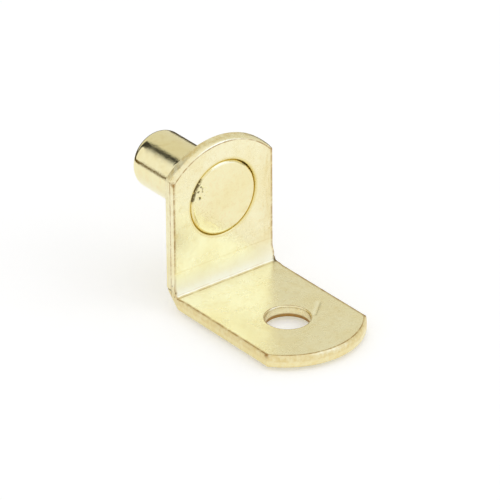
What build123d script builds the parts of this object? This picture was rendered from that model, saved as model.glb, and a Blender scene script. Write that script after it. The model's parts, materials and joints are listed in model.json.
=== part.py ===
"""Shelf support: a bent sheet-metal bracket with a pin riveted through its upright leaf.

Millimetres. The pin's axis is +Y, towards its free end, and +Z is up. The origin lies on that axis, in
the back face of the upright leaf, which seats on the side of the cabinet.
"""
import math
import os

from build123d import *

# Sheet
sheet_thickness = 1.0
leaf_width = 10.0
corner_round = 0.35
punch_side_round = 0.18
burr_side_round = 0.08

# Fold: its inner face leaves the upright leaf in a slow curve that ends in a crease on the shelf leaf
fold_rise = 1.4
fold_toe = 0.28
crease_radius = 0.22
bend_outer_radius = 1.5
bend_neck = 0.26
bend_bulge = 0.12

# Leaves, measured from the two inner faces that meet at the fold
upright_height = 12.35
upright_end_rise = 2.25
shelf_reach = 14.2
shelf_end_rise = 2.4

# Screw hole in the shelf leaf
screw_hole_diameter = 3.6
screw_hole_setback = 8.1

# Pin
pin_diameter = 5.0
pin_length = 8.0
pin_end_round = 0.8
pin_height = 7.25

# Riveted end of the pin, whose head lies in a seat in the upright leaf
neck_diameter = 3.6
neck_clearance = 0.05
head_diameter = 6.4
head_rise = 0.06
head_rim_round = 0.34
seat_depth = 0.45
seat_clearance = 0.03
seat_lip_round = 0.1

# How far a cutter runs past what it cuts
overrun = 1.0

# Planes and lines that follow from these
upright_front = -sheet_thickness
shelf_top = -pin_height
shelf_bottom = shelf_top - sheet_thickness
upright_top = shelf_top + upright_height
shelf_front = upright_front - shelf_reach
fold_top = shelf_top + fold_rise
crease = upright_front - fold_toe
flare_radius = (fold_rise**2 + fold_toe**2) / (2 * fold_toe)
half_width = leaf_width / 2
bend_centre = Vector(0, -bend_outer_radius, shelf_bottom + bend_outer_radius)
inward = Vector(0, -1, 1)
seat_floor = upright_front + seat_depth
seat_radius = head_diameter / 2 + seat_clearance


def bent_strip(width):
    """The sheet's side profile, bent square, in a strip of this width."""
    outline = Polyline(
        (upright_front, fold_top),
        (upright_front, upright_top),
        (0, upright_top),
        (0, shelf_bottom),
        (shelf_front, shelf_bottom),
        (shelf_front, shelf_top),
        (crease, shelf_top),
    )
    outline += TangentArc((upright_front, fold_top), (crease, shelf_top), tangent=(0, -1))
    profile = make_face(outline)
    inner_corner = profile.vertices().sort_by_distance((crease, shelf_top))[0]
    profile = fillet(inner_corner, crease_radius)
    outer_corner = profile.vertices().sort_by_distance((0, shelf_bottom))[0]
    profile = fillet(outer_corner, bend_outer_radius)
    return extrude(Plane.YZ * profile, amount=width / 2, both=True)


def leaf_outline(length, rise):
    """A leaf's outline, square where it starts and cut to a shallow arc at its free end."""
    shoulder = length - rise
    outline = Polyline((-half_width, shoulder), (-half_width, 0), (half_width, 0), (half_width, shoulder))
    outline += ThreePointArc((half_width, shoulder), (0, length), (-half_width, shoulder))
    blank = make_face(outline)
    end_corners = blank.vertices().group_by(Axis.Y)[-1]
    return fillet(end_corners, corner_round)


def cut_to_outlines(strip):
    """Cuts the bent strip to the two leaves' outlines."""
    seen_from_front = Plane(origin=(0, 0, shelf_bottom), x_dir=(1, 0, 0), z_dir=(0, -1, 0))
    seen_from_above = Plane(origin=(0, 0, shelf_bottom), x_dir=(-1, 0, 0), z_dir=(0, 0, 1))
    front_outline = seen_from_front * leaf_outline(upright_top - shelf_bottom, upright_end_rise)
    top_outline = seen_from_above * leaf_outline(-shelf_front, shelf_end_rise)
    through_depth = overrun - shelf_front
    through_height = overrun + upright_top - shelf_bottom
    strip &= extrude(front_outline, amount=through_depth, both=True)
    return strip & extrude(top_outline, amount=through_height, both=True)


def skin(part, direction, *bend_radii):
    """The faces on one side of the sheet: two flats and the bends of these radii between them."""
    facing = [face for face in part.faces() if face.normal_at().dot(direction) > 0]
    flats = [face for face in facing if face.geom_type == GeomType.PLANE]
    rolled = [face for face in facing if face.geom_type == GeomType.CYLINDER]
    return flats + [face for face in rolled if any(math.isclose(face.radius, radius) for radius in bend_radii)]


def rims(faces):
    """The edges round a patch of faces, without those that two of its faces share."""
    edges = [edge for face in faces for edge in face.edges()]
    return [edge for edge in edges if sum(edge.is_same(other) for other in edges) == 1]


def bend_bulges():
    """Shallow domes that bending squeezes out of both sides of the sheet, at the inside of the fold."""
    base = half_width - punch_side_round
    crown = half_width + bend_bulge
    rise = crown - base
    dome_radius = (bend_outer_radius**2 + rise**2) / (2 * rise)
    outline = Polyline((crown, 0), (base, 0), (base, bend_outer_radius))
    outline += RadiusArc((base, bend_outer_radius), (crown, 0), dome_radius)
    dome = Pos(bend_centre) * revolve(make_face(outline), Axis.X)
    bulge = dome & bent_strip(leaf_width + overrun)
    return bulge + mirror(bulge, Plane.YZ)


def bend_necks():
    """Cutters for the slanted flats that bending draws into both sides, at the outside of the fold."""
    chord = bend_outer_radius / math.sqrt(2)
    slope = bend_neck / (bend_outer_radius - chord)
    far = bend_outer_radius + overrun
    section = Polyline(
        (half_width, chord),
        (half_width - slope * (far - chord), far),
        (half_width + overrun, far),
        (half_width + overrun, chord),
        close=True,
    )
    across_fold = Plane(origin=bend_centre, x_dir=(1, 0, 0), z_dir=(0, 1, 1))
    neck = extrude(across_fold * make_face(section), amount=bend_outer_radius, both=True)
    return neck + mirror(neck, Plane.YZ)


def across_upright(radius, start, end):
    """A cylinder on the pin's axis, from one place along it to another."""
    return Pos(0, (start + end) / 2, 0) * Rot(90, 0, 0) * Cylinder(radius, end - start)


def cut_pin_seat(bracket):
    """Cuts the round seat of the pin's head, with a rounded lip, and the hole for its neck."""
    bracket -= across_upright(seat_radius, upright_front - overrun, seat_floor)
    circles = bracket.edges().filter_by(GeomType.CIRCLE)
    seat_rims = [edge for edge in circles if math.isclose(edge.radius, seat_radius)]
    lip = min(seat_rims, key=lambda edge: edge.center().Y)
    bracket = fillet(lip, seat_lip_round)
    return bracket - across_upright(neck_diameter / 2 + neck_clearance, upright_front, overrun)


def angle_bracket():
    """Stamped and bent sheet, with its screw hole, the pin's seat and the marks that bending leaves."""
    bracket = cut_to_outlines(bent_strip(leaf_width + overrun))
    screw_hole = Cylinder(screw_hole_diameter / 2, sheet_thickness + overrun)
    bracket -= Pos(0, upright_front - screw_hole_setback, shelf_top - sheet_thickness / 2) * screw_hole
    bracket = fillet(rims(skin(bracket, inward, flare_radius, crease_radius)), punch_side_round)
    bracket = fillet(rims(skin(bracket, -inward, bend_outer_radius)), burr_side_round)
    bracket += bend_bulges()
    bracket -= bend_necks()
    return cut_pin_seat(bracket)


def support_pin():
    """Turned pin: a round-ended shank, a neck through the upright leaf and a low head riveted into its seat."""
    shank = pin_diameter / 2
    neck = neck_diameter / 2
    head = head_diameter / 2
    crown = head - head_rim_round
    head_face = upright_front - head_rise
    outline = Polyline((0, head_face), (0, pin_length), (shank - pin_end_round, pin_length))
    outline += RadiusArc(outline @ 1, (shank, pin_length - pin_end_round), pin_end_round)
    steps = ((shank, 0), (neck, 0), (neck, seat_floor), (head, seat_floor), (head, head_face + head_rim_round))
    outline += Polyline(outline @ 1, *steps)
    outline += RadiusArc(outline @ 1, (crown, head_face), head_rim_round)
    outline += Line((crown, head_face), (0, head_face))
    return revolve(make_face(outline), Axis.Y)


nodes = {"angle_bracket": angle_bracket(), "support_pin": support_pin()}
os.makedirs("parts", exist_ok=True)
for name, solid in nodes.items():
    solid.label = name
    export_step(solid, f"parts/{name}.step")
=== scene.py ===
"""Looks of the shelf support: a plated sheet bracket and its riveted pin, in soft studio light."""
import json
import math
from typing import NamedTuple

import bmesh
import bpy
from mathutils import Matrix, Vector, noise
from mathutils.geometry import delaunay_2d_cdt


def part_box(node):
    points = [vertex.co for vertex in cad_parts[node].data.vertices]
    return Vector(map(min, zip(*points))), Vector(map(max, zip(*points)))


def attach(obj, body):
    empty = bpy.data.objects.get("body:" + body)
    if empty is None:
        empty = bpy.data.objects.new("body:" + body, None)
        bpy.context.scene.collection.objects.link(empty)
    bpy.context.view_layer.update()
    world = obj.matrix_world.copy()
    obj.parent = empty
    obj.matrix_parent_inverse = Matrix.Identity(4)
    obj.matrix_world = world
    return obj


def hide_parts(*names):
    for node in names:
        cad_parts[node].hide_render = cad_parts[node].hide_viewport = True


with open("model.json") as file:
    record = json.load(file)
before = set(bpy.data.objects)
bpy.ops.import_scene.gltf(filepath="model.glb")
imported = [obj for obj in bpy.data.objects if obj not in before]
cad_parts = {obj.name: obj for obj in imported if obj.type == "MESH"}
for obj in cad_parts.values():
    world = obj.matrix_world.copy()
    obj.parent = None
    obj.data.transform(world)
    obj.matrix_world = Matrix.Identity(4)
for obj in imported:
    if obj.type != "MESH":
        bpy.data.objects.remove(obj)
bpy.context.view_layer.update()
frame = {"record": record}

# Shapes are worked out in millimetres and turned into metres where a mesh is made
MM = 0.001

# Sizes that the frame holds
mounts = {mount["name"]: mount for mount in frame["record"]["mounts"]}
bracket_low, bracket_high = (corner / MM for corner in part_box("angle_bracket"))
_, pin_high = (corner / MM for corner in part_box("support_pin"))
SHELF_TOP = mounts["shelf_face"]["pos_m"][2] / MM
SHEET = SHELF_TOP - bracket_low.z
UPRIGHT_FRONT = -SHEET
HOLE_RADIUS = mounts["screw_hole"]["dims"]["r_mm"]
HOLE_Y = mounts["screw_hole"]["pos_m"][1] / MM
PIN_RADIUS = mounts["pin"]["dims"]["r_mm"]
PIN_END_ROUND = pin_high.y - mounts["pin"]["dims"]["length_mm"]
PIN_ROUND_START = pin_high.y - PIN_END_ROUND
HEAD_RADIUS = pin_high.x

# Sizes of the sheet that the frame doesn't name
LEAF_HALF_WIDTH = 5.0
UPRIGHT_END_RISE = 2.25
SHELF_END_RISE = 2.4
CORNER_ROUND = 0.35
PUNCH_SIDE_ROUND = 0.18
BURR_SIDE_ROUND = 0.08
FOLD_RISE = 1.4
FOLD_TOE = 0.28
CREASE_RADIUS = 0.22
BEND_OUTER_RADIUS = 1.5
BEND_NECK = 0.26
BEND_BULGE = 0.12

# Sizes of the riveted end and its seat
NECK_RADIUS = 1.8
NECK_CLEARANCE = 0.05
NECK_HOLE_RADIUS = NECK_RADIUS + NECK_CLEARANCE
HEAD_RISE = 0.06
HEAD_RIM_ROUND = 0.34
SEAT_DEPTH = 0.45
SEAT_CLEARANCE = 0.03
SEAT_RADIUS = HEAD_RADIUS + SEAT_CLEARANCE
SEAT_FLOOR = UPRIGHT_FRONT + SEAT_DEPTH
SEAT_LIP_ROUND = 0.1
SEAT_LIP_WIDTH = 0.2

# Oval roll-over of a punched edge, its share where the sheet was slit and round the screw hole, and how much
# of an edge's normal lies along X where it is slit and where it is punched
ROLL_INSET = 0.26
ROLL_DEPTH = 0.5
SLIT_ROLL_SHARE = 0.36
HOLE_ROLL_SHARE = 0.36
SLIT_NORMAL, PUNCHED_NORMAL = 1, 0.9

# Fold: places and curves that follow from its sizes
FOLD_TOP = SHELF_TOP + FOLD_RISE
FOLD_MIDDLE = (SHELF_TOP + FOLD_TOP) / 2
BEND_Y = -BEND_OUTER_RADIUS
BEND_Z = bracket_low.z + BEND_OUTER_RADIUS
FLARE_RADIUS = (FOLD_RISE**2 + FOLD_TOE**2) / (2 * FOLD_TOE)
FLARE_SWEEP = 2 * math.atan2(FOLD_TOE, FOLD_RISE)
CREASE_SWEEP = math.pi / 2 - FLARE_SWEEP
CREASE_TANGENT = CREASE_RADIUS * math.tan(CREASE_SWEEP / 2)
CREASE_FRONT = UPRIGHT_FRONT - FOLD_TOE - CREASE_TANGENT

# Sheet coordinates: x across, s along the unrolled sheet from the fold's middle, w in from the inner face
HALF_FOLD = math.pi / 4 * (BEND_OUTER_RADIUS - SHEET / 2) + (FOLD_TOP - BEND_Z) / 2
S_FRONT = bracket_low.y - BEND_Y - HALF_FOLD
S_TOP = bracket_high.z - FOLD_TOP + HALF_FOLD
S_HOLE = HOLE_Y - BEND_Y - HALF_FOLD
S_PIN = HALF_FOLD - FOLD_TOP

# How finely the meshes are divided
EDGE_STEP = 0.12
FEWEST_ARC_STEPS = 4
GRID_STEP = 0.2
BEND_ROWS = 48
ROUND_ROWS = 8
WALL_ROWS = 6
SUPPORT_INSET = 0.05
CREASE_START = 0.1
CREASE_END = 0.5
LATHE_SEGMENTS = 288
LATHE_STEP = 0.15
HEAD_STEP = 0.05
RIM_ROWS = 16
CRISP_INSET = 0.02

# Settings of the triangulation, and the number of the loop that is the sheet's outline
MERGE_DISTANCE = 1e-6
CONVEX_HULL = 0
OUTLINE = 0

# How uneven rolling, shearing and riveting leave the metal
INNER_WAVE = 0.006
OUTER_WAVE = 0.004
WAVE_LENGTH = 3.2
RIPPLE_SHARE = 0.35
RIPPLES_PER_WAVE = 2.7
INNER_SEED, OUTER_SEED, RIPPLE_SEED = 1, 20, 7
EDGE_WAVE = 0.02
EDGE_WAVE_LENGTH = 0.9
HEAD_WAVE = 0.006
HEAD_WAVE_LENGTH = 2.2
HEAD_SEED = 3

# Where bending squeezes the sheet's sides: distances from its middle
SQUEEZE_START = LEAF_HALF_WIDTH - 1.2
SQUEEZE_FULL = LEAF_HALF_WIDTH - 0.2

# Marks on the pin's head: dents, and places pressed in at the rim with their turn, half width and share
DENT_DEPTH = 0.12
DENT_LENGTH = 0.24
DENT_CENTRE = Vector((-2.25, 1.2))
DENT_REACH = 0.85
PRESSES = (152, 24, 1), (44, 22, 0.45)
PRESS_START = 2.9
PRESS_DEPTH = 0.1

# Marks on the sheet: a scratch on the shelf leaf and a wrinkle at both ends of the fold
SCRATCH_FROM, SCRATCH_TO = (3.47, -8.77), (1.95, -10.09)
SCRATCH_DEPTH = 0.085
SCRATCH_REACH = 0.2
SCRATCH_STEP = 0.08
SCRATCH_ROW_STEP = SCRATCH_REACH / 3
# Offset of the painted highlight onto the scratch's far wall
SCRATCH_GLINT_OFFSET = 0.15
WRINKLE_Z = -6.87
WRINKLE_DEPTH = 0.06
WRINKLE_REACH = 0.16

# Colours of the metal
SHEET_BRASS = (0.93, 0.875, 0.595, 1), (0.905, 0.825, 0.515, 1)
PIN_BRASS = (0.905, 0.84, 0.53, 1), (0.88, 0.79, 0.455, 1)
# Pale tone of the painted reflection above the crease
PAINTED_REFLECTION_BRASS = (0.955, 0.925, 0.72, 1)
CUT_BRASS = (0.84, 0.70, 0.33, 1)
# Tone of the painted highlight on the scratch's far wall
PAINTED_GLINT_TONE = (1, 0.95, 0.68, 1)
# Deeper gold painted into the head's groove and the seat's lip as shade, for light bounced round the narrow
# crevice
GROOVE_SHADE_GOLD = (0.82, 0.70, 0.32, 1)
# Gold for the plating's mottle, blotches and edge stains, and for painted shade along the crease
GOLD_STAIN_AND_SHADE = (0.74, 0.58, 0.24, 1)
# Brown for stains, specks and rim lines, and for painted shade along the crease and at the screw hole's foot
BROWN_STAIN_AND_SHADE = (0.36, 0.19, 0.045, 1)
# Near black for grime in the pin head's dents, for the painted dark reflection on its pressed rim, and for
# painted shade at the fold's ends
DARK_DIRT_AND_SHADE = (0.09, 0.06, 0.02, 1)

# Roughness, and what is added to it where the metal is torn, stretched at the fold or cut off
SHEET_ROUGHNESS = 0.22, 0.3
PIN_ROUGHNESS = 0.07, 0.12
TORN_ROUGHER = 0.14
STRAINED_ROUGHER = 0.12
END_ROUGHER = 0.36

# Bump: its height in millimetres, and the shares of it that each pattern has
BUMP_HEIGHT = 0.003
MOTTLE_BUMP = 1.2
GRAIN_BUMP = 0.6
HAIR_BUMP = -0.6
TORN_BUMP = 1.5
TURNED_BUMP = 4.5
END_BUMP_SHARE = 0.3


class Pattern(NamedTuple):
    """Cloudy noise with features of this length in millimetres.

    shown holds both ends of the values that count, and then what they are mapped to, if not 0 and 1.
    """

    length: float
    detail: float = 4
    roughness: float = 0.6
    distortion: float = 0
    shown: tuple = (0, 1)


# Patterns in the plating
BRASS_TONES = Pattern(3.0, shown=(0.35, 0.68))
MOTTLE = Pattern(0.5, 5, 0.65, 0.5, shown=(0.45, 0.75, 0, 0.28))
GRAIN = Pattern(0.2, 4, 0.7, shown=(0.5, 0.8, 0, 0.3))
BLOTCHES = Pattern(1.3, 8, 0.68, 0.4, shown=(0.60, 0.78, 0, 0.3))
SPECKS = Pattern(0.32, 2, 0.5, shown=(0.74, 0.8, 0, 0.5))
SPECK_TURN = (0.4, 0.7, 0)
DULL_CLOUDS = Pattern(1.7, 5, shown=(0.3, 0.7))
HAIRS = Pattern(1.0, 2, 0.5, shown=(0.62, 0.72))
HAIR_LENGTHS = (0.4, 33, 0.4)
HAIR_TURN = (0, 0, 0.5)
TURNED_RINGS = Pattern(1.0, 3, 0.6)
TURNED_LENGTHS = (0.35, 0.13, 0.35)

# Patterns of wear and grime, and of the painted dark reflection on the pin head's pressed rim
STREAKS = Pattern(0.17, 3, 0.7, shown=(0.5, 0.8, 0, 0.2))
WALL_MOTTLE = Pattern(0.3, 5, 0.7, shown=(0.35, 0.65, 0.3, 0.8))
ARCH_PATCHES = Pattern(0.5, 6, 0.7, shown=(0.4, 0.62, 0, 0.75))
SHORT_GAPS = Pattern(0.9, 6, 0.75, shown=(0.38, 0.56, 0.2, 0.95))
LONG_GAPS = Pattern(4.0, 2, shown=(0.3, 0.55, 0.35, 1))
STAIN_GAPS = Pattern(1.1, 5, 0.75, shown=(0.36, 0.56, 0.25, 1))
RUB_STREAKS = Pattern(1.0, 5, 0.7, shown=(0.35, 0.7, 0.1, 0.7))
RUB_LENGTHS = (0.25, 0.25, 1.6)
DIRT_AND_REFLECTION_CLOUDS = Pattern(0.3, shown=(0.25, 0.6))
DIRT_AND_REFLECTION_SHOWN = 0.05, 0.4, 0, 0.9

# Places between which a look comes in, in millimetres
RIM_LINE_DEPTH = 0.04
TORN_DEPTHS = ROLL_DEPTH - 0.05, ROLL_DEPTH + 0.15
ROLLED_DEPTHS = TORN_DEPTHS[::-1]
ARCH_DEPTHS = 0.1, 0.5
ARCH_HEIGHTS = 2.6, 3.2
SHELF_HEIGHTS = FOLD_TOP, SHELF_TOP
LEFT_SIDE = 3, 0
HOLE_WALL_RADII = HOLE_RADIUS + 0.2, HOLE_RADIUS + 0.1
HOLE_FOOT_SHADE_DEPTHS = 0.62, 0.76
RUBBED_SIDE = 3.4, 4.8
RUBBED_HEIGHTS = FOLD_TOP, FOLD_TOP + 1
STRAIN_AND_REFLECTION_REACHES = 1.3, 0.325
HEAD_GROOVE_DEPTHS = -HEAD_RISE, HEAD_RIM_ROUND / 3
SEAT_GROOVE_DEPTHS = -SEAT_LIP_ROUND / 2, SEAT_LIP_ROUND / 2
DULL_END_START = pin_high.y - PIN_END_ROUND / 3

# Strengths of those looks
HOLE_WARMTH = 0.3
HOLE_FOOT_SHADE_STRENGTH = 0.95
PAINTED_REFLECTION_STRENGTH = 0.5

# Stains at the leaves' corners and on the upright leaf, and painted shade along the crease and at the fold's
# ends:
# place, reach, tone, strength and the axes that count
ALL_AXES = (1, 1, 1)
ALONG_X = (0, 1, 1)
ALONG_Y = (1, 0, 1)
ALONG_Z = (1, 1, 0)
CORNER_STAIN = 0.4, BROWN_STAIN_AND_SHADE, 0.9, ALL_AXES
STAINS_AND_SHADE = (
    ((-4.73, UPRIGHT_FRONT, -1.92), 0.5, GOLD_STAIN_AND_SHADE, 0.3, ALL_AXES),
    ((4.57, UPRIGHT_FRONT, -4.31), 0.12, GOLD_STAIN_AND_SHADE, 0.9, ALL_AXES),
    ((0, UPRIGHT_FRONT, -5.24), 0.08, GOLD_STAIN_AND_SHADE, 0.4, ALONG_X),
    # Painted shade along the crease: gold and brown lines in the fold's inner corner, the middle gold one
    # also dulling a highlight there
    ((0, -1.22, -7.11), 0.08, GOLD_STAIN_AND_SHADE, 0.5, ALONG_X),
    ((0, -1.34, -7.19), 0.12, GOLD_STAIN_AND_SHADE, 0.75, ALONG_X),
    ((0, -1.46, SHELF_TOP), 0.1, BROWN_STAIN_AND_SHADE, 0.7, ALONG_X),
    ((-LEAF_HALF_WIDTH, -0.62, 0), 0.1, BROWN_STAIN_AND_SHADE, 0.8, ALONG_Z),
    ((LEAF_HALF_WIDTH, -0.62, 0), 0.1, BROWN_STAIN_AND_SHADE, 0.8, ALONG_Z),
    # Painted shade in the wrinkles at the fold's ends, at its left end and in the small notch at its right
    # end
    ((-4.93, 0, WRINKLE_Z), 0.1, DARK_DIRT_AND_SHADE, 0.9, ALONG_Y),
    ((4.93, 0, WRINKLE_Z), 0.1, DARK_DIRT_AND_SHADE, 0.9, ALONG_Y),
    ((-LEAF_HALF_WIDTH, -0.8, -6.35), 0.12, DARK_DIRT_AND_SHADE, 0.8, ALL_AXES),
    ((-LEAF_HALF_WIDTH, -1.1, -7.2), 0.14, DARK_DIRT_AND_SHADE, 0.8, ALL_AXES),
    ((5.03, -1.28, -7.25), 0.45, DARK_DIRT_AND_SHADE, 1.0, ALL_AXES),
)

# Shares of a mark's reach: the length of its ragged edge, and where it starts and is full
STAIN_RAGGED_SHARE = 0.6
STAIN_OUTER_SHARE, STAIN_INNER_SHARE = 1.5, 0.5

# Floor and lights, in millimetres and degrees
STAGE_MIDDLE = Vector((0, -4, -2))
FLOOR_SIZE = 4000
FLOOR_GAP = 0.3
FLOOR_Z = bracket_low.z - FLOOR_GAP
FLOOR_TONES = (0.905, 0.905, 0.905, 1), (0.915, 0.915, 0.915, 1)
FLOOR_CLOUDS = Pattern(20)
FLOOR_GLOW = 0.26
SKY_LIGHT = 0.8
WHITE = (1, 1, 1, 1)
BLACK = (0, 0, 0, 1)
KEY_AZIMUTH, KEY_ELEVATION = 142, 40
KEY_DISTANCE = 240
KEY_SIZE = 130
KEY_RADIANCE = 0.75

# Cards that the metal mirrors. Hung ones: name, azimuth, elevation, angles of width and height, colour.
# Standing ones: name, azimuth, distance, width, height, colour.
COOL_WHITE = (1.27, 1.45, 2.05, 1)
PALE_WHITE = (1.07, 1.18, 1.6, 1)
SOFT_GREY = (0.79, 0.77, 0.68, 1)
NEAR_BLACK = (0.05, 0.05, 0.045, 1)
DARK_BROWN = (0.1, 0.085, 0.06, 1)
WARM_BROWN = (0.16, 0.11, 0.04, 1)
CARD_DISTANCE = 220
HUNG_CARDS = (
    ("cool_window", 148, 40, 34, 40, COOL_WHITE),
    ("cool_window_low", 148, 2, 34, 20, PALE_WHITE),
    ("grey_card_right", 44, 35, 106, 70, SOFT_GREY),
    ("grey_card_front", 110, 20, 24, 44, SOFT_GREY),
    ("dark_strip_back", -22, 24, 15, 52, NEAR_BLACK),
)
STANDING_CARDS = (
    ("low_card_back", 20, 36, 74, 11, DARK_BROWN),
    ("low_card_left", -46, 55, 60, 6.5, WARM_BROWN),
)

# Camera, in millimetres and degrees
CAMERA_TARGET = Vector((0, -4.3566, -3.2847))
CAMERA_DISTANCE = 348.087
CAMERA_AZIMUTH = 218.0976
CAMERA_ELEVATION = 28.9856
CAMERA_ROLL = -0.338
CAMERA_LENS = 318.743
SENSOR_WIDTH = 36


def smooth_step(low, high, value):
    """0 below low, 1 above high, and an even ease between them."""
    share = min(max((value - low) / (high - low), 0), 1)
    return share * share * (3 - 2 * share)


def spaced(low, high, step):
    """Evenly spaced places from low up to high, without high, no more than a step apart."""
    count = max(1, math.ceil((high - low) / step))
    return [low + (high - low) * place / count for place in range(count)]


# Outline of the unrolled sheet


def arc_rim(centre, radius, start, end, side):
    """Points and outward normals along an arc, without its last point."""
    steps = max(FEWEST_ARC_STEPS, math.ceil(radius * (end - start) / EDGE_STEP))
    samples = []
    for step in range(steps):
        angle = start + (end - start) * step / steps
        normal = Vector((math.cos(angle), side * math.sin(angle)))
        samples.append((Vector(centre) + radius * normal, normal))
    return samples


class LeafEnd:
    """The arc that ends a leaf, with its two rounded corners. side is 1 at the top and -1 at the front."""

    def __init__(self, apex, rise, side):
        self.side = side
        self.radius = (LEAF_HALF_WIDTH**2 + rise**2) / (2 * rise)
        self.centre = apex - side * self.radius
        self.corner_x = LEAF_HALF_WIDTH - CORNER_ROUND
        reach = self.radius - CORNER_ROUND
        self.corner_s = self.centre + side * math.sqrt(reach**2 - self.corner_x**2)
        self.corner_turn = math.acos(self.corner_x / reach)

    def rim(self):
        """Points and outward normals from the right side round to the left side."""
        turn = self.corner_turn
        pieces = (
            ((self.corner_x, self.corner_s), CORNER_ROUND, 0, turn),
            ((0, self.centre), self.radius, turn, math.pi - turn),
            ((-self.corner_x, self.corner_s), CORNER_ROUND, math.pi - turn, math.pi),
        )
        return [sample for piece in pieces for sample in arc_rim(*piece, self.side)]

    def holds(self, x, s, margin):
        """True if the point lies inside the arc by this margin, or back from it."""
        offset = s - self.centre
        return offset * self.side < 0 or math.hypot(x, offset) < self.radius - margin


top_end = LeafEnd(S_TOP, UPRIGHT_END_RISE, 1)
front_end = LeafEnd(S_FRONT, SHELF_END_RISE, -1)


def places_along(low, high, step):
    """Places along the sheet, a step apart on the leaves and close together in the bend."""
    bend_step = 2 * HALF_FOLD / BEND_ROWS
    bend = spaced(-HALF_FOLD, HALF_FOLD, bend_step)
    return spaced(low, -HALF_FOLD, step) + bend + spaced(HALF_FOLD, high, step)


def outline_rim():
    """The sheet's outline, anticlockwise seen from its inner face."""
    along = places_along(front_end.corner_s, top_end.corner_s, EDGE_STEP)
    right = [(Vector((LEAF_HALF_WIDTH, s)), Vector((1, 0))) for s in along]
    back_along = along[1:] + [top_end.corner_s]
    left = [(Vector((-LEAF_HALF_WIDTH, s)), Vector((-1, 0))) for s in reversed(back_along)]
    front_from_left = [(Vector((-p.x, p.y)), Vector((-n.x, n.y))) for p, n in front_end.rim()]
    return right + top_end.rim() + left + front_from_left


def hole_rim(centre_s, radius):
    """A hole's rim, with normals that point out of the metal into the hole."""
    count = math.ceil(2 * math.pi * radius / EDGE_STEP)
    samples = []
    for step in range(count):
        angle = 2 * math.pi * step / count
        spoke = Vector((math.cos(angle), math.sin(angle)))
        samples.append((Vector((0, centre_s)) + radius * spoke, -spoke))
    return samples


def quarter_turns():
    """Angles down a rounded edge, from its flat face to its wall."""
    return [math.pi / 2 * row / ROUND_ROWS for row in range(ROUND_ROWS + 1)]


def sheared_profile(roll_share, largest_share):
    """Inset and depth down a sheared edge: rolled in at the inner face, barely rounded at the outer.

    The first row stays clear of the largest roll round the same edge.
    """
    roll_inset, roll_depth = ROLL_INSET * roll_share, ROLL_DEPTH * roll_share
    burr = BURR_SIDE_ROUND
    wall = SHEET - roll_depth - burr
    rows = [(ROLL_INSET * largest_share + SUPPORT_INSET, 0)]
    rows += [(roll_inset * (1 - math.sin(t)), roll_depth * (1 - math.cos(t))) for t in quarter_turns()]
    rows += [(0, roll_depth + wall * row / WALL_ROWS) for row in range(1, WALL_ROWS)]
    rows += [(burr * (1 - math.cos(t)), SHEET - burr * (1 - math.sin(t))) for t in quarter_turns()]
    return rows + [(burr + SUPPORT_INSET, SHEET)]


def seat_profile():
    """Inset and depth down the head's seat, from the inner face to the neck's hole and the back."""
    lip_width, lip_depth = SEAT_LIP_WIDTH, SEAT_LIP_ROUND
    neck_inset = NECK_HOLE_RADIUS - SEAT_RADIUS
    rows = [(lip_width + SUPPORT_INSET, 0)]
    rows += [(lip_width * (1 - math.sin(t)), lip_depth * (1 - math.cos(t))) for t in quarter_turns()]
    rows += [(0, SEAT_DEPTH), (neck_inset, SEAT_DEPTH), (neck_inset, SHEET)]
    return rows + [(neck_inset + SUPPORT_INSET, SHEET)]


# Folding the sheet


def sheet_wave(x, s, seed):
    """Slow unevenness of the rolled sheet with a quicker ripple, around 0."""
    slow = noise.noise(Vector((x, s, seed)) / WAVE_LENGTH)
    ripple = noise.noise(Vector((x, s, seed + RIPPLE_SEED)) * RIPPLES_PER_WAVE / WAVE_LENGTH)
    return slow + RIPPLE_SHARE * ripple


def edge_wave(run, row):
    """How far a sheared edge stands back here, at this length along its run."""
    return EDGE_WAVE * (noise.noise(Vector((run, row, 0)) / EDGE_WAVE_LENGTH) + 1) / 2


def inner_rail(share):
    """The fold's inner face, from the shelf leaf at 0, round the crease, up to the upright leaf at 1."""
    if share < CREASE_START:
        return BEND_Y + (CREASE_FRONT - BEND_Y) * share / CREASE_START, SHELF_TOP
    if share < CREASE_END:
        turn = CREASE_SWEEP * (share - CREASE_START) / (CREASE_END - CREASE_START)
        centre_z = SHELF_TOP + CREASE_RADIUS
        return CREASE_FRONT + CREASE_RADIUS * math.sin(turn), centre_z - CREASE_RADIUS * math.cos(turn)
    top_sweep = FLARE_SWEEP - CREASE_TANGENT / FLARE_RADIUS
    turn = top_sweep * (1 - share) / (1 - CREASE_END)
    return UPRIGHT_FRONT - FLARE_RADIUS * (1 - math.cos(turn)), FOLD_TOP - FLARE_RADIUS * math.sin(turn)


def outer_rail(share):
    """The fold's outer face, from the shelf leaf at 0, round the bend, up to the upright leaf at 1."""
    arc = math.pi / 2 * BEND_OUTER_RADIUS
    reach = share * (arc + FOLD_TOP - BEND_Z)
    if reach > arc:
        return 0, BEND_Z + reach - arc
    turn = reach / BEND_OUTER_RADIUS
    return BEND_Y + BEND_OUTER_RADIUS * math.sin(turn), BEND_Z - BEND_OUTER_RADIUS * math.cos(turn)


def folded(x, s, w):
    """The place in the part's frame of a point of the unrolled sheet."""
    if s < -HALF_FOLD:
        return Vector((x, BEND_Y + s + HALF_FOLD, SHELF_TOP - w))
    if s > HALF_FOLD:
        return Vector((x, UPRIGHT_FRONT + w, FOLD_TOP + s - HALF_FOLD))
    share = (s / HALF_FOLD + 1) / 2
    y, z = Vector(inner_rail(share)).lerp(Vector(outer_rail(share)), w / SHEET)
    return Vector((x, y, z))


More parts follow.
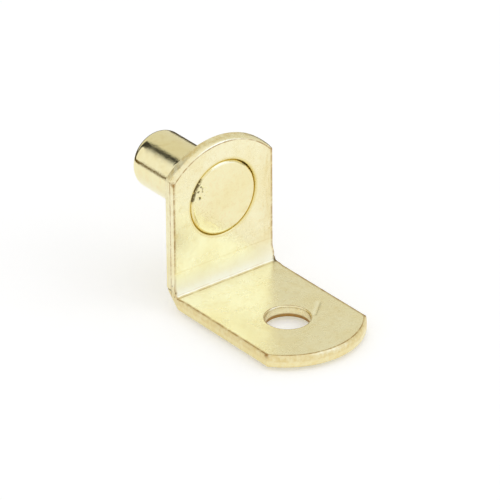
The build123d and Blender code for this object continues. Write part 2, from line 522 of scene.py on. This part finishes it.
def side_shift(place):
    """How far bending moves the sheet's side here: out at the inside of the fold, in at its outside."""
    from_centre = Vector((0, place.y - BEND_Y, place.z - BEND_Z))
    base = -PUNCH_SIDE_ROUND
    rise = BEND_BULGE - base
    dome_radius = (BEND_OUTER_RADIUS**2 + rise**2) / (2 * rise)
    reach = min(from_centre.length, BEND_OUTER_RADIUS)
    bulge = base + math.sqrt(dome_radius**2 - reach**2) - (dome_radius - rise)
    chord = BEND_OUTER_RADIUS / math.sqrt(2)
    outward = (from_centre.y - from_centre.z) / math.sqrt(2)
    neck = BEND_NECK * (outward - chord) / (BEND_OUTER_RADIUS - chord)
    wrinkle = WRINKLE_DEPTH * smooth_step(WRINKLE_REACH, 0, abs(place.z - WRINKLE_Z))
    return max(bulge, 0) - max(neck, 0) - wrinkle


def on_shelf_leaf(point):
    """Sheet coordinates of a place on the shelf leaf, seen from above."""
    return Vector((point[0], point[1] - BEND_Y - HALF_FOLD))


SCRATCH_START = on_shelf_leaf(SCRATCH_FROM)
SCRATCH = on_shelf_leaf(SCRATCH_TO) - SCRATCH_START


def from_scratch(x, s):
    """Distance from the line of the scratch."""
    offset = Vector((x, s)) - SCRATCH_START
    share = min(max(offset.dot(SCRATCH) / SCRATCH.length_squared, 0), 1)
    return (offset - share * SCRATCH).length


def scratch_glint(x, s):
    """Share of a painted highlight on the scratch's far wall."""
    far_side = -SCRATCH.orthogonal().normalized() * SCRATCH_GLINT_OFFSET
    return smooth_step(SCRATCH_REACH, 0, from_scratch(x - far_side.x, s - far_side.y))


def scratch_spots():
    """Points across and along the scratch, close enough to show its groove."""
    along, across = SCRATCH.normalized(), SCRATCH.orthogonal().normalized()
    columns = spaced(0, SCRATCH.length, SCRATCH_STEP)
    rows = spaced(-SCRATCH_REACH, SCRATCH_REACH, SCRATCH_ROW_STEP)[1:]
    return [SCRATCH_START + along * column + across * row for column in columns for row in rows]


def bracket_point(x, s, w):
    """A point of the finished bracket: uneven, scratched, folded and squeezed at the fold.

    The unevenness of the outer face only moves it in, so that it stays within its nominal size.
    """
    depth_share = w / SHEET
    scratch = SCRATCH_DEPTH * smooth_step(SCRATCH_REACH, 0, from_scratch(x, s))
    inner = (INNER_WAVE * sheet_wave(x, s, INNER_SEED) + scratch) * (1 - depth_share)
    outer = OUTER_WAVE * (sheet_wave(x, s, OUTER_SEED) + 1 + RIPPLE_SHARE) * depth_share
    place = folded(x, s, w + inner - outer)
    nearness = smooth_step(SQUEEZE_START, SQUEEZE_FULL, abs(x))
    place.x += math.copysign(nearness, x) * side_shift(place)
    return place


# Meshes


def mesh_object(name, points, faces, marks):
    """A smooth-shaded object from points in millimetres, with its normals facing out.

    marks holds one number for each point under each name, for the material to read.
    """
    mesh = bpy.data.meshes.new(name)
    mesh.from_pydata([tuple(point * MM) for point in points], [], faces)
    work = bmesh.new()
    work.from_mesh(mesh)
    bmesh.ops.recalc_face_normals(work, faces=work.faces)
    work.to_mesh(mesh)
    work.free()
    for label, values in marks.items():
        mesh.attributes.new(label, "FLOAT", "POINT").data.foreach_set("value", values)
    mesh.polygons.foreach_set("use_smooth", [True] * len(mesh.polygons))
    obj = bpy.data.objects.new(name, mesh)
    bpy.context.collection.objects.link(obj)
    return obj


class SheetMesh:
    """Collects the bracket's points and faces in sheet coordinates, with marks for the material to read."""

    def __init__(self):
        self.points = []
        self.faces = []
        self.marks = {"edge": [], "depth": [], "run": [], "groove": [], "glint": []}

    def add(self, x, s, w, **marks):
        """Adds a point of the finished bracket and returns its number."""
        self.points.append(bracket_point(x, s, w))
        for name, values in self.marks.items():
            values.append(marks.get(name, 0.0))
        return len(self.points) - 1

    def add_edge(self, rim, profiles, is_sheared):
        """Adds an edge's walls, with one profile for each rim point. Returns its first and last rings."""
        rings = []
        last_row = len(profiles[0]) - 1
        for row in range(last_row + 1):
            edge = float(is_sheared and 0 < row < last_row)
            ring, run = [], 0.0
            for number, (point, normal) in enumerate(rim):
                inset, depth = profiles[number][row]
                in_groove = row > 0 and not is_sheared
                # The seat's lip is marked for the same painted shade as the head's groove
                groove = smooth_step(*SEAT_GROOVE_DEPTHS, depth) if in_groove else 0.0
                run += (point - rim[number - 1][0]).length if number else 0
                spot = point - (inset + edge * edge_wave(run, row)) * normal
                vertex = self.add(spot.x, spot.y, depth, edge=edge, depth=depth, run=run, groove=groove)
                ring.append((spot, vertex))
            rings.append(ring)
        for upper, lower in zip(rings, rings[1:]):
            for number in range(len(rim)):
                following = (number + 1) % len(rim)
                corners = (upper[number], upper[following], lower[following], lower[number])
                self.faces.append([vertex for _, vertex in corners])
        return rings[0], rings[-1]

    def add_skin(self, loops, spots_within, depth):
        """Adds one face of the sheet, filled between its loops with these points.

        The triangles that close a hole are left out: all their corners lie on that hole's loop.
        """
        spots, numbers, owners, edges = [], [], [], []
        for owner, loop in enumerate(loops):
            start, count = len(spots), len(loop)
            edges += [(start + place, start + (place + 1) % count) for place in range(count)]
            spots += [spot for spot, _ in loop]
            numbers += [vertex for _, vertex in loop]
            owners += [owner] * count
        for spot in spots_within:
            glint = 0.0 if depth else scratch_glint(spot.x, spot.y)
            spots.append(spot)
            numbers.append(self.add(spot.x, spot.y, depth, depth=depth, glint=glint))
            owners.append(OUTLINE)
        filled = delaunay_2d_cdt(spots, edges, [], CONVEX_HULL, MERGE_DISTANCE)
        _, _, triangles, origins = filled[:4]
        for triangle in triangles:
            corners = [origins[corner][0] for corner in triangle]
            met = {owners[corner] for corner in corners}
            if OUTLINE in met or len(met) > 1:
                self.faces.append([numbers[corner] for corner in corners])


def on_sheet(x, s, margin, seat_radius):
    """True if the point lies on the sheet, this far from every edge."""
    if abs(x) > LEAF_HALF_WIDTH - margin or not S_FRONT < s < S_TOP:
        return False
    if math.hypot(x, s - S_HOLE) < HOLE_RADIUS + margin:
        return False
    if math.hypot(x, s - S_PIN) < seat_radius + margin:
        return False
    return top_end.holds(x, s, margin) and front_end.holds(x, s, margin)


def grid_spots(margin, seat_radius):
    """A fine staggered grid over the sheet, this far from its edges."""
    grid = []
    for row, s in enumerate(places_along(S_FRONT, S_TOP, GRID_STEP)):
        shift = GRID_STEP / 2 * (row % 2)
        columns = spaced(-LEAF_HALF_WIDTH + shift, LEAF_HALF_WIDTH + shift, GRID_STEP)
        grid += [Vector((x, s)) for x in columns if on_sheet(x, s, margin, seat_radius)]
    return grid


def inner_spots(spare):
    """Points on the sheet's inner face, this far from its edges: an even grid, and more in the scratch."""
    even = grid_spots(ROLL_INSET + spare, SEAT_RADIUS)
    spots = [spot for spot in even if from_scratch(*spot) > SCRATCH_REACH]
    margin = HOLE_ROLL_SHARE * ROLL_INSET + spare
    return spots + [spot for spot in scratch_spots() if on_sheet(*spot, margin, SEAT_RADIUS)]


def make_bracket():
    """The folded sheet, with its sheared edges, the pin's seat and the scratch."""
    sheet = SheetMesh()
    rim = outline_rim()
    punched = [smooth_step(SLIT_NORMAL, PUNCHED_NORMAL, abs(normal.x)) for _, normal in rim]
    rolls = [SLIT_ROLL_SHARE + (1 - SLIT_ROLL_SHARE) * share for share in punched]
    outline = sheet.add_edge(rim, [sheared_profile(roll, 1) for roll in rolls], True)
    hole, pin_seat = hole_rim(S_HOLE, HOLE_RADIUS), hole_rim(S_PIN, SEAT_RADIUS)
    hole_profile = sheared_profile(HOLE_ROLL_SHARE, HOLE_ROLL_SHARE)
    screw_hole = sheet.add_edge(hole, [hole_profile] * len(hole), True)
    seat = sheet.add_edge(pin_seat, [seat_profile()] * len(pin_seat), False)
    inner_loops, outer_loops = zip(outline, screw_hole, seat)
    spare = SUPPORT_INSET + GRID_STEP / 2
    sheet.add_skin(inner_loops, inner_spots(spare), 0)
    sheet.add_skin(outer_loops, grid_spots(BURR_SIDE_ROUND + spare, NECK_HOLE_RADIUS), SHEET)
    return mesh_object("plated_angle_bracket", sheet.points, sheet.faces, sheet.marks)


# Pin


def softened(corners, inset):
    """Corners of an outline with a point set just before and after each, to keep them crisp when shaded."""
    points = [corners[0]]
    for before, corner, after in zip(corners, corners[1:], corners[2:]):
        points += [corner + (before - corner).normalized() * inset, corner]
        points.append(corner + (after - corner).normalized() * inset)
    return points + [corners[-1]]


def rounded_corner(centre, radius, start):
    """Points round a quarter circle, clockwise from this angle, without the last."""
    turns = [start - math.pi / 2 * row / RIM_ROWS for row in range(RIM_ROWS)]
    return [centre + radius * Vector((math.cos(turn), math.sin(turn))) for turn in turns]


def pin_profile():
    """Radius and place along the axis, from the middle of the riveted head to the middle of the free end."""
    face = UPRIGHT_FRONT - HEAD_RISE
    crown = HEAD_RADIUS - HEAD_RIM_ROUND
    points = [Vector((radius, face)) for radius in spaced(0, crown, HEAD_STEP)]
    rim = rounded_corner(Vector((crown, -face - HEAD_RIM_ROUND)), HEAD_RIM_ROUND, math.pi / 2)
    points += [Vector((point.x, -point.y)) for point in rim]
    riveted = [
        points[-1],
        Vector((HEAD_RADIUS, SEAT_FLOOR)),
        Vector((NECK_RADIUS, SEAT_FLOOR)),
        Vector((NECK_RADIUS, 0)),
        Vector((PIN_RADIUS, 0)),
        Vector((PIN_RADIUS, LATHE_STEP)),
    ]
    points += softened(riveted, CRISP_INSET)[1:-1]
    points += [Vector((PIN_RADIUS, y)) for y in spaced(LATHE_STEP, PIN_ROUND_START, LATHE_STEP)]
    end_radius = PIN_RADIUS - PIN_END_ROUND
    end_round = rounded_corner(Vector((end_radius, -PIN_ROUND_START)), PIN_END_ROUND, 0)
    points += [Vector((point.x, -point.y)) for point in end_round]
    return points + [Vector((radius, pin_high.y)) for radius in reversed(spaced(0, end_radius, LATHE_STEP))]


def rim_press(x, z):
    """Share of the blows that pressed the head's rim in at two places: none inside, all at the rim."""
    turn = math.degrees(math.atan2(z, x))
    rim_share = max(math.hypot(x, z) - PRESS_START, 0) / (HEAD_RADIUS - PRESS_START)
    blows = [share * smooth_step(half, half / 2, abs(turn - middle)) for middle, half, share in PRESSES]
    return rim_share * max(blows)


def dent(x, z):
    """Depth share of the small dents beside the pressed rim."""
    distance = (Vector((x, z)) - DENT_CENTRE).length
    depth = max(noise.noise(Vector((x, z, HEAD_SEED)) / DENT_LENGTH), 0)
    return depth * smooth_step(DENT_REACH, DENT_REACH / 3, distance)


def head_drop(x, z):
    """How far hammering pushed the riveted head in here."""
    wave = HEAD_WAVE * (1 + noise.noise(Vector((x, z, HEAD_SEED)) / HEAD_WAVE_LENGTH))
    return wave + DENT_DEPTH * dent(x, z) + PRESS_DEPTH * rim_press(x, z)


def make_pin():
    """The turned pin, with its hammered head and marks for the groove's painted shade and for the grime and
    painted dark reflection on the head's dents and pressed rim.
    """
    deepest = SEAT_FLOOR - CRISP_INSET
    points, faces, rings = [], [], []
    marks = {"groove": [], "dirt_and_dark_reflection": []}
    for radius, y in pin_profile():
        count = LATHE_SEGMENTS if radius else 1
        on_head = y < SEAT_FLOOR
        ring = []
        for segment in range(count):
            angle = 2 * math.pi * segment / count
            x, z = radius * math.cos(angle), radius * math.sin(angle)
            sunk = min(y + head_drop(x, z), deepest) if y < deepest else y
            ring.append(len(points))
            points.append(Vector((x, sunk, z)))
            depth = sunk - UPRIGHT_FRONT
            # The head's groove is marked for painted shade
            marks["groove"].append(smooth_step(*HEAD_GROOVE_DEPTHS, depth) if on_head else 0.0)
            # Dents and the pressed rim are marked for grime and for a painted dark reflection
            marks["dirt_and_dark_reflection"].append(max(rim_press(x, z), dent(x, z)) if on_head else 0.0)
        rings.append(ring)
    for first, second in zip(rings, rings[1:]):
        for segment in range(LATHE_SEGMENTS):
            following = (segment + 1) % LATHE_SEGMENTS
            corners = [
                first[segment % len(first)],
                first[following % len(first)],
                second[following % len(second)],
                second[segment % len(second)],
            ]
            faces.append(list(dict.fromkeys(corners)))
    return mesh_object("plated_support_pin", points, faces, marks)


# Materials


class NodeGraph:
    """Short calls for building the node tree of a material or a world."""

    def __init__(self, owner, shader):
        owner.use_nodes = True
        self.owner = owner
        self.tree = owner.node_tree
        self.shader = self.tree.nodes[shader]

    def node(self, kind, inputs=None, **settings):
        """A new node with these settings, its sockets fed by name or number."""
        node = self.tree.nodes.new(f"ShaderNode{kind}")
        for name, value in settings.items():
            setattr(node, name, value)
        for key, value in (inputs or {}).items():
            self.feed(node.inputs[key], value)
        return node

    def feed(self, socket, value):
        """Links an output to the socket, or sets the socket's own value."""
        if isinstance(value, bpy.types.NodeSocket):
            self.tree.links.new(value, socket)
        else:
            socket.default_value = value

    def shade(self, **inputs):
        """Feeds the shader's sockets, named with underscores."""
        for name, value in inputs.items():
            self.feed(self.shader.inputs[name.replace("_", " ")], value)

    def place(self):
        """Object coordinates in millimetres."""
        inputs = {"Vector": self.node("TexCoord").outputs["Object"], "Scale": (1 / MM, 1 / MM, 1 / MM)}
        return self.node("Mapping", inputs).outputs["Vector"]

    def axes(self, place):
        """The place's x, y and z."""
        return self.node("SeparateXYZ", {"Vector": place}).outputs

    def stretched(self, place, lengths=(1, 1, 1), turn=(0, 0, 0)):
        """The place in a pattern that is drawn out to these lengths and turned."""
        inputs = {"Vector": place, "Scale": lengths, "Rotation": turn}
        return self.node("Mapping", inputs, vector_type="TEXTURE").outputs["Vector"]

    def noise(self, place, pattern):
        """The pattern's noise, between 0 and 1."""
        inputs = {"Vector": place, "Scale": 1 / pattern.length, "Detail": pattern.detail}
        inputs |= {"Roughness": pattern.roughness, "Distortion": pattern.distortion}
        return self.node("TexNoise", inputs).outputs["Fac"]

    def clouds(self, place, pattern):
        """The pattern's noise, mapped as the pattern says."""
        return self.between(self.noise(place, pattern), *pattern.shown)

    def between(self, value, low, high, to_low=0, to_high=1):
        """The value's stretch from low to high, mapped smoothly onto another stretch."""
        inputs = {"Value": value, "From Min": low, "From Max": high, "To Min": to_low, "To Max": to_high}
        return self.node("MapRange", inputs, interpolation_type="SMOOTHSTEP").outputs["Result"]

    def math(self, operation, *values):
        """The result of a Math node."""
        return self.node("Math", dict(enumerate(values)), operation=operation).outputs["Value"]

    def product(self, first, *others):
        """The product of all the values."""
        for other in others:
            first = self.math("MULTIPLY", first, other)
        return first

    def add_share(self, share, amount, value):
        """The value with a share of an amount added."""
        return self.math("MULTIPLY_ADD", share, amount, value)

    def distance(self, place, point, axes):
        """How far the place is from a point, along the axes that are given as 1."""
        flat = self.node("VectorMath", {0: place, 1: axes}, operation="MULTIPLY").outputs["Vector"]
        target = Vector(point) * Vector(axes)
        return self.node("VectorMath", {0: flat, 1: target}, operation="DISTANCE").outputs["Value"]

    def mix(self, share, first, second):
        """A blend of two colours."""
        node = self.node("Mix", data_type="RGBA")
        self.feed(node.inputs["Factor"], share)
        self.feed(node.inputs["A"], first)
        self.feed(node.inputs["B"], second)
        return node.outputs["Result"]

    def attribute(self, name):
        """A mark that the mesh holds."""
        return self.node("Attribute", attribute_name=name).outputs["Fac"]


def material_graph(name):
    """The node tree of a new material."""
    return NodeGraph(bpy.data.materials.new(name), "Principled BSDF")


def metal(graph, colour, roughness, height):
    """Finishes the material as plated metal with these maps."""
    bump = graph.node("Bump", {"Strength": 1.0, "Distance": BUMP_HEIGHT * MM, "Height": height})
    graph.shade(Base_Color=colour, Metallic=1.0, Roughness=roughness, Normal=bump.outputs["Normal"])
    return graph.owner


def plating(graph, place, brass, roughness_range):
    """Colour, roughness and height of brass plating: uneven and speckled, with a deeper gold painted into
    the head's groove as shade.
    """
    mottle, grain = graph.noise(place, MOTTLE), graph.noise(place, GRAIN)
    colour = graph.mix(graph.clouds(place, BRASS_TONES), *brass)
    colour = graph.mix(graph.between(mottle, *MOTTLE.shown), colour, GOLD_STAIN_AND_SHADE)
    colour = graph.mix(graph.between(grain, *GRAIN.shown), colour, GOLD_STAIN_AND_SHADE)
    colour = graph.mix(graph.clouds(place, BLOTCHES), colour, GOLD_STAIN_AND_SHADE)
    specks = graph.clouds(graph.stretched(place, turn=SPECK_TURN), SPECKS)
    colour = graph.mix(specks, colour, BROWN_STAIN_AND_SHADE)
    # Painted shade: deeper gold in the groove round the head, for light bounced round the crevice
    colour = graph.mix(graph.attribute("groove"), colour, GROOVE_SHADE_GOLD)
    dull = graph.noise(place, DULL_CLOUDS)
    roughness = graph.between(dull, *DULL_CLOUDS.shown, *roughness_range)
    hairs = graph.clouds(graph.stretched(place, HAIR_LENGTHS, HAIR_TURN), HAIRS)
    height = graph.add_share(hairs, HAIR_BUMP, graph.product(grain, GRAIN_BUMP))
    height = graph.add_share(mottle, MOTTLE_BUMP, height)
    return colour, roughness, height


def stained_or_shaded(graph, place, colour, point, reach, tone, strength, axes):
    """The colour with a ragged mark round a point, or along a broken line where an axis is left out; marks
    are stains, or painted shade along the crease and at the fold's ends.
    """
    ragged = graph.noise(place, Pattern(reach * STAIN_RAGGED_SHARE))
    distance = graph.add_share(ragged, reach, graph.distance(place, point, axes))
    share = graph.between(distance, reach * STAIN_OUTER_SHARE, reach * STAIN_INNER_SHARE, 0, strength)
    if axes != ALL_AXES:
        share = graph.product(share, graph.clouds(place, STAIN_GAPS))
    return graph.mix(share, colour, tone)


def rim_lines(graph, depth, run):
    """Thin lines along both rims of a sheared edge, broken along its run."""
    inner = graph.between(depth, RIM_LINE_DEPTH, 0)
    outer = graph.between(depth, SHEET - RIM_LINE_DEPTH, SHEET)
    lines = graph.math("MAXIMUM", inner, outer)
    return graph.product(lines, graph.clouds(run, SHORT_GAPS), graph.clouds(run, LONG_GAPS))


def sheared(graph, place, colour, roughness, height):
    """Adds the look of sheared edges: golden rolls, a dull, torn wall, brown lines along both rims, and
    painted brown shade at the foot of the screw hole's wall.
    """
    edge, depth = graph.attribute("edge"), graph.attribute("depth")
    run = graph.node("CombineXYZ", {"X": graph.attribute("run")}).outputs["Vector"]
    x, _, z = graph.axes(place)
    in_hole = graph.between(graph.distance(place, (0, HOLE_Y, 0), ALONG_Z), *HOLE_WALL_RADII)
    off_hole = graph.math("SUBTRACT", 1.0, in_hole)
    on_shelf = graph.product(graph.between(z, *SHELF_HEIGHTS), off_hole)
    torn = graph.product(edge, graph.between(depth, *TORN_DEPTHS))
    rolled = graph.product(edge, on_shelf, graph.between(depth, *ROLLED_DEPTHS))
    left_wall = graph.product(torn, on_shelf, graph.between(x, *LEFT_SIDE))
    warm = graph.math("MAXIMUM", left_wall, graph.product(edge, in_hole, HOLE_WARMTH))
    arch = graph.product(edge, graph.between(depth, *ARCH_DEPTHS), graph.between(z, *ARCH_HEIGHTS))
    # Painted shade: the shadow under the sheet beside the hole, painted brown onto the foot of its wall
    hole_foot_shade = graph.product(edge, in_hole, graph.between(depth, *HOLE_FOOT_SHADE_DEPTHS, 0, HOLE_FOOT_SHADE_STRENGTH))
    mottled = graph.clouds(place, WALL_MOTTLE)
    streaks = graph.noise(run, STREAKS)
    colour = graph.mix(graph.product(rolled, mottled), colour, GOLD_STAIN_AND_SHADE)
    colour = graph.mix(graph.product(warm, mottled), colour, CUT_BRASS)
    colour = graph.mix(graph.product(torn, graph.between(streaks, *STREAKS.shown)), colour, GOLD_STAIN_AND_SHADE)
    colour = graph.mix(graph.product(arch, graph.clouds(place, ARCH_PATCHES)), colour, GOLD_STAIN_AND_SHADE)
    colour = graph.mix(graph.product(edge, rim_lines(graph, depth, run)), colour, BROWN_STAIN_AND_SHADE)
    colour = graph.mix(hole_foot_shade, colour, BROWN_STAIN_AND_SHADE)
    roughness = graph.add_share(graph.math("MAXIMUM", torn, rolled), TORN_ROUGHER, roughness)
    height = graph.add_share(graph.product(torn, streaks), TORN_BUMP, height)
    return colour, roughness, height


def rubbed(graph, place, colour):
    """The colour with a warm, streaked band down the upright leaf's right edge."""
    x, _, z = graph.axes(place)
    band = graph.product(graph.between(z, *RUBBED_HEIGHTS), graph.between(x, *RUBBED_SIDE))
    streaks = graph.clouds(graph.stretched(place, RUB_LENGTHS), RUB_STREAKS)
    return graph.mix(graph.product(band, streaks), colour, GOLD_STAIN_AND_SHADE)


def strained_with_painted_reflection(graph, place, colour, roughness):
    """Adds a pale, dull band above the crease: bending roughens the plating there, and its paleness is a
    painted reflection of a bright window.
    """
    from_fold = graph.distance(place, (0, UPRIGHT_FRONT, FOLD_MIDDLE), ALONG_X)
    band = graph.between(from_fold, *STRAIN_AND_REFLECTION_REACHES)
    # Painted reflection: the band is tinted pale, as a bright window mirrored in it would make it
    colour = graph.mix(graph.product(band, PAINTED_REFLECTION_STRENGTH), colour, PAINTED_REFLECTION_BRASS)
    return colour, graph.add_share(band, STRAINED_ROUGHER, roughness)


def sheet_material():
    """Plated sheet, with the stains that bending and shearing leave at its edges and corners, a painted
    reflection above the crease, a painted highlight in the scratch, and painted shade along the crease, at
    the fold's ends and at the foot of the screw hole's wall.
    """
    graph = material_graph("plated_sheet")
    place = graph.place()
    colour, roughness, height = plating(graph, place, SHEET_BRASS, SHEET_ROUGHNESS)
    colour = rubbed(graph, place, colour)
    # Painted reflection above the crease, on a band that bending also makes rougher
    colour, roughness = strained_with_painted_reflection(graph, place, colour, roughness)
    # Painted highlight: a glint on the scratch's far wall
    colour = graph.mix(graph.attribute("glint"), colour, PAINTED_GLINT_TONE)
    colour, roughness, height = sheared(graph, place, colour, roughness, height)
    for end in (top_end, front_end):
        for x in (-LEAF_HALF_WIDTH, LEAF_HALF_WIDTH):
            colour = stained_or_shaded(graph, place, colour, folded(x, end.corner_s, 0), *CORNER_STAIN)
    # Stains, and painted shade along the crease and at the fold's ends
    for stain_or_shade in STAINS_AND_SHADE:
        colour = stained_or_shaded(graph, place, colour, *stain_or_shade)
    return metal(graph, colour, roughness, height)


def pin_material():
    """The same plating over the rings of a turned shank, with a dull end, and grime and a painted dark
    reflection in the head's dents and pressed rim.
    """
    graph = material_graph("plated_pin")
    place = graph.place()
    colour, roughness, height = plating(graph, place, PIN_BRASS, PIN_ROUGHNESS)
    _, y, _ = graph.axes(place)
    calm = graph.between(y, PIN_ROUND_START, pin_high.y, 1, END_BUMP_SHARE)
    turned = graph.between(y, PIN_ROUND_START, PIN_ROUND_START - PIN_END_ROUND, 0, TURNED_BUMP)
    rings = graph.noise(graph.stretched(place, TURNED_LENGTHS), TURNED_RINGS)
    height = graph.add_share(rings, turned, graph.product(height, calm))
    dull = graph.between(y, DULL_END_START, pin_high.y, 0, END_ROUGHER)
    roughness = graph.math("ADD", roughness, dull)
    # Painted dark reflection on the head's pressed rim, and grime in its dents
    dirt_and_dark_reflection = graph.product(graph.attribute("dirt_and_dark_reflection"), graph.clouds(place, DIRT_AND_REFLECTION_CLOUDS))
    colour = graph.mix(graph.between(dirt_and_dark_reflection, *DIRT_AND_REFLECTION_SHOWN), colour, DARK_DIRT_AND_SHADE)
    return metal(graph, colour, roughness, height)


# Stage


def stage_plane(name, width, height, matrix, material):
    """A flat rectangle in the X-Y plane of the matrix."""
    mesh = bpy.data.meshes.new(name)
    x, y = width / 2 * MM, height / 2 * MM
    mesh.from_pydata([(-x, -y, 0), (x, -y, 0), (x, y, 0), (-x, y, 0)], [], [(0, 1, 2, 3)])
    mesh.materials.append(material)
    obj = bpy.data.objects.new(name, mesh)
    obj.matrix_world = matrix
    bpy.context.collection.objects.link(obj)
    return obj


def heading(azimuth, elevation):
    """Direction of an azimuth from +Y towards +X and an elevation, in degrees."""
    a, e = math.radians(azimuth), math.radians(elevation)
    return Vector((math.sin(a) * math.cos(e), math.cos(a) * math.cos(e), math.sin(e)))


def looking_back(target, out, distance):
    """A place this far out from the target, in this direction, that looks back at it, level."""
    turn = (-out).to_track_quat("-Z", "Y").to_matrix().to_4x4()
    return Matrix.Translation((target + out * distance) * MM) @ turn


def reflected_card(name, width, height, matrix, colour):
    """A plain card of even brightness that only shows in the metal's reflections."""
    graph = material_graph(name)
    graph.shade(Base_Color=BLACK, Specular_IOR_Level=0, Emission_Color=colour, Emission_Strength=1.0)
    obj = stage_plane(name, width, height, matrix, graph.owner)
    obj.visible_camera = obj.visible_diffuse = obj.visible_shadow = False


def hung_card(name, azimuth, elevation, wide, high, colour):
    """A card round the object, as wide and high as these angles."""
    width = 2 * CARD_DISTANCE * math.tan(math.radians(wide) / 2)
    height = 2 * CARD_DISTANCE * math.tan(math.radians(high) / 2)
    matrix = looking_back(STAGE_MIDDLE, heading(azimuth, elevation), CARD_DISTANCE)
    reflected_card(name, width, height, matrix, colour)


def standing_card(name, azimuth, distance, width, height, colour):
    """A low card that stands on the floor close to the object."""
    target = Vector((STAGE_MIDDLE.x, STAGE_MIDDLE.y, FLOOR_Z + height / 2))
    reflected_card(name, width, height, looking_back(target, heading(azimuth, 0), distance), colour)


def is_seen(graph):
    """1 for rays from the camera, in reflections and through glass, 0 for rays that light a surface."""
    path = graph.node("LightPath").outputs
    seen = graph.math("MAXIMUM", path["Is Camera Ray"], path["Is Glossy Ray"])
    return graph.math("MAXIMUM", seen, path["Is Transmission Ray"])


def make_floor():
    """Pale floor that glows a little where it is seen, so that it comes out white and keeps its shadow."""
    graph = material_graph("pale_floor")
    tone = graph.mix(graph.noise(graph.place(), FLOOR_CLOUDS), *FLOOR_TONES)
    graph.shade(Base_Color=tone, Roughness=1.0, Specular_IOR_Level=0, Emission_Color=WHITE)
    graph.shade(Emission_Strength=graph.product(is_seen(graph), FLOOR_GLOW))
    level = Matrix.Translation((0, 0, FLOOR_Z * MM))
    stage_plane("floor", FLOOR_SIZE, FLOOR_SIZE, level, graph.owner)


def make_world():
    """White where it is seen, a little softer as light."""
    graph = NodeGraph(bpy.data.worlds.new("studio"), "Background")
    graph.shade(Color=WHITE, Strength=graph.between(is_seen(graph), 0, 1, SKY_LIGHT, 1.0))
    bpy.context.scene.world = graph.owner


def make_key_light():
    """Large softbox in front, to the right and above, which draws the soft shadow on the floor."""
    light = bpy.data.lights.new("softbox", "AREA")
    light.shape = "RECTANGLE"
    light.size = light.size_y = KEY_SIZE * MM
    light.energy = KEY_RADIANCE * math.pi * light.size * light.size_y
    obj = bpy.data.objects.new("softbox", light)
    obj.matrix_world = looking_back(STAGE_MIDDLE, heading(KEY_AZIMUTH, KEY_ELEVATION), KEY_DISTANCE)
    obj.visible_glossy = False
    bpy.context.collection.objects.link(obj)


def make_camera():
    """The photograph's view: its direction, its slight roll and its long lens."""
    camera = bpy.data.cameras.new("camera")
    camera.sensor_width = SENSOR_WIDTH
    camera.lens = CAMERA_LENS
    obj = bpy.data.objects.new("camera", camera)
    back = heading(CAMERA_AZIMUTH, CAMERA_ELEVATION)
    roll = Matrix.Rotation(math.radians(CAMERA_ROLL), 4, "Z")
    obj.matrix_world = looking_back(CAMERA_TARGET, back, CAMERA_DISTANCE) @ roll
    bpy.context.collection.objects.link(obj)
    bpy.context.scene.camera = obj


bracket = make_bracket()
bracket.data.materials.append(sheet_material())
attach(bracket, "root")
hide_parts("angle_bracket")

pin = make_pin()
pin.data.materials.append(pin_material())
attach(pin, "root")
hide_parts("support_pin")

make_floor()
make_world()
make_key_light()
for card in HUNG_CARDS:
    hung_card(*card)
for card in STANDING_CARDS:
    standing_card(*card)
make_camera()
bpy.context.scene.view_settings.view_transform = "Standard"
